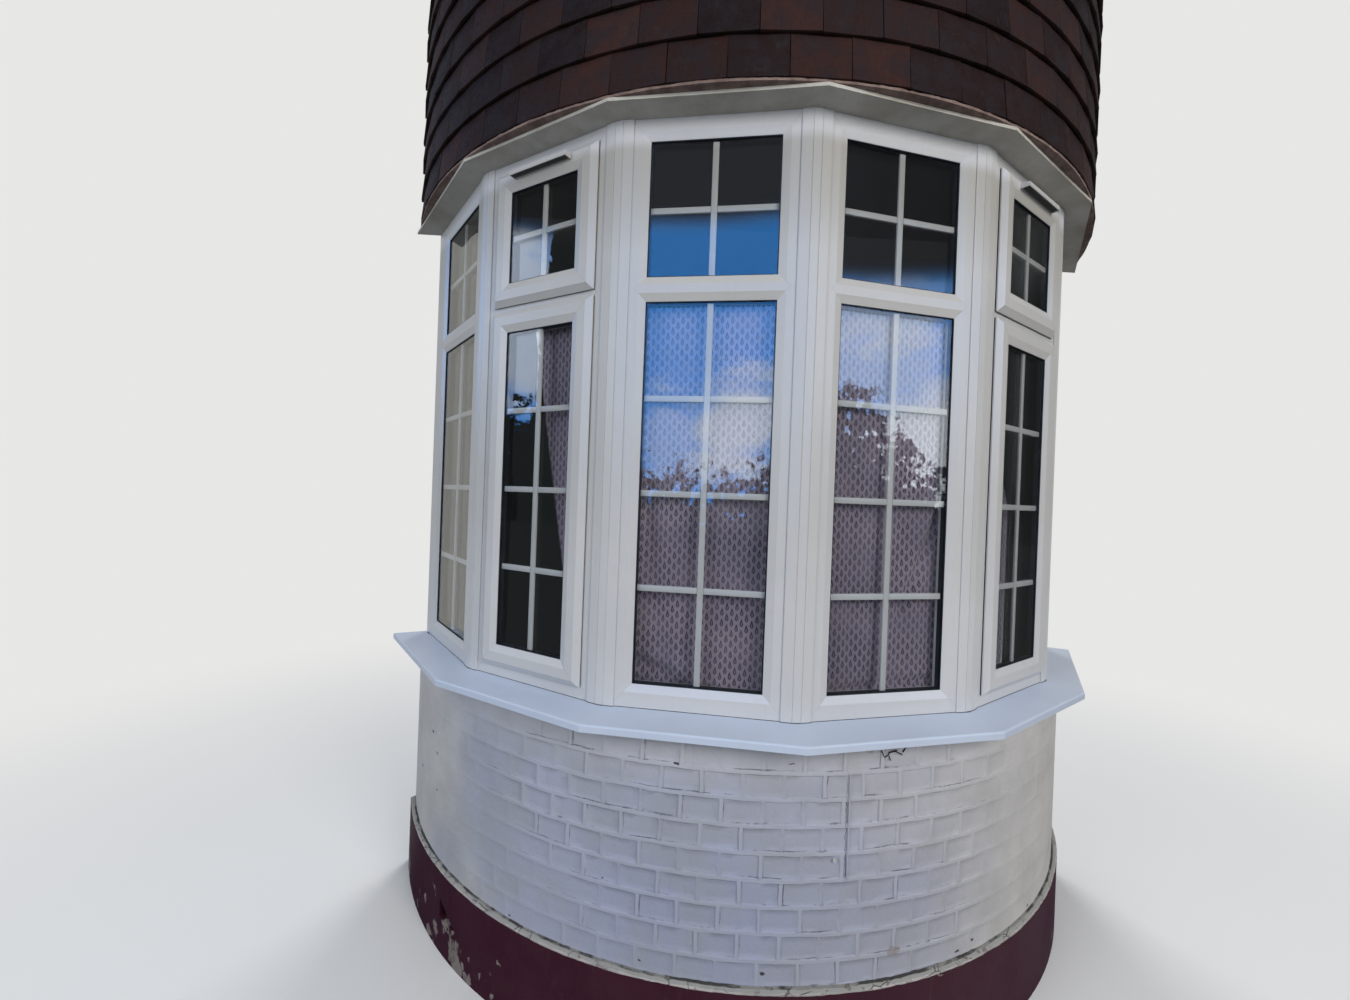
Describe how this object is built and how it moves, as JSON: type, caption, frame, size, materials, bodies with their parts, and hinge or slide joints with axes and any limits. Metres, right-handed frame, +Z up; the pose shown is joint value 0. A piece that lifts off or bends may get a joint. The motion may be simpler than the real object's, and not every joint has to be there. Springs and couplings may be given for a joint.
{
  "type": "bay window",
  "caption": "Faceted bow window with white framed double glazing and opening sashes, on a curved painted brick wall with a plinth, under a tile-hung apron.",
  "frame": {"origin": "middle of the footprint's box, at ground level under the plinth", "axes": "+Z up, -Y towards the street, +Y into the house through the open back, +X to the right seen from the street"},
  "size_m": [3.1458, 1.0594, 3.855],
  "materials": {
    "plinth_paint": "satin masonry paint on render, chipped",
    "ledge_paint": "weathered masonry paint on mortar",
    "wall_paint": "matt masonry paint on brickwork",
    "plaster": "matt emulsion on plaster",
    "board_paint": "gloss painted",
    "head_paint": "painted",
    "frame_plastic": "satin extruded",
    "sill_plastic": "satin extruded",
    "soffit_paint": "matt painted",
    "mortar": "rough",
    "timber": "sawn softwood",
    "tile": "plain clay, weathered",
    "post_metal": "mill finish",
    "rail_metal": "gloss",
    "handle_metal": "gloss",
    "seal_rubber": "matt",
    "glass": "clear double glazing",
    "cloth": "mottled print"
  },
  "bodies": {
    "root": {"apron_wall": "timber", "bay_posts": "post_metal", "brick_wall": "wall_paint", "casement_sash_2": "frame_plastic", "casement_sash_5": "frame_plastic", "ceiling_board": "plaster", "cloth_rail": "rail_metal", "end_post_left": "frame_plastic", "end_post_right": "frame_plastic", "fanlight_sash_2": "frame_plastic", "fanlight_sash_5": "frame_plastic", "frame_1": "frame_plastic", "frame_2": "frame_plastic", "frame_3": "frame_plastic", "frame_4": "frame_plastic", "frame_5": "frame_plastic", "frame_6": "frame_plastic", "glazing_1": "glass", "glazing_2": "glass", "glazing_3": "glass", "glazing_4": "glass", "glazing_5": "glass", "glazing_6": "glass", "glazing_beads": "frame_plastic", "head_plate": "head_paint", "inner_post_covers": "frame_plastic", "mortar_bed": "mortar", "plinth": "plinth_paint", "plinth_ledge": "ledge_paint", "post_cover_1": "frame_plastic", "post_cover_2": "frame_plastic", "post_cover_3": "frame_plastic", "post_cover_4": "frame_plastic", "post_cover_5": "frame_plastic", "sash_seals": "seal_rubber", "sill_1": "sill_plastic", "sill_2": "sill_plastic", "sill_3": "sill_plastic", "sill_4": "sill_plastic", "sill_5": "sill_plastic", "sill_6": "sill_plastic", "soffit_board": "soffit_paint", "tile_hanging": "tile", "top_deck": "timber", "trickle_vent_2": "frame_plastic", "trickle_vent_5": "frame_plastic", "wall_lining": "plaster", "window_board": "board_paint", "window_cloth": "cloth", "window_handles": "handle_metal"}
  },
  "joints": []
}
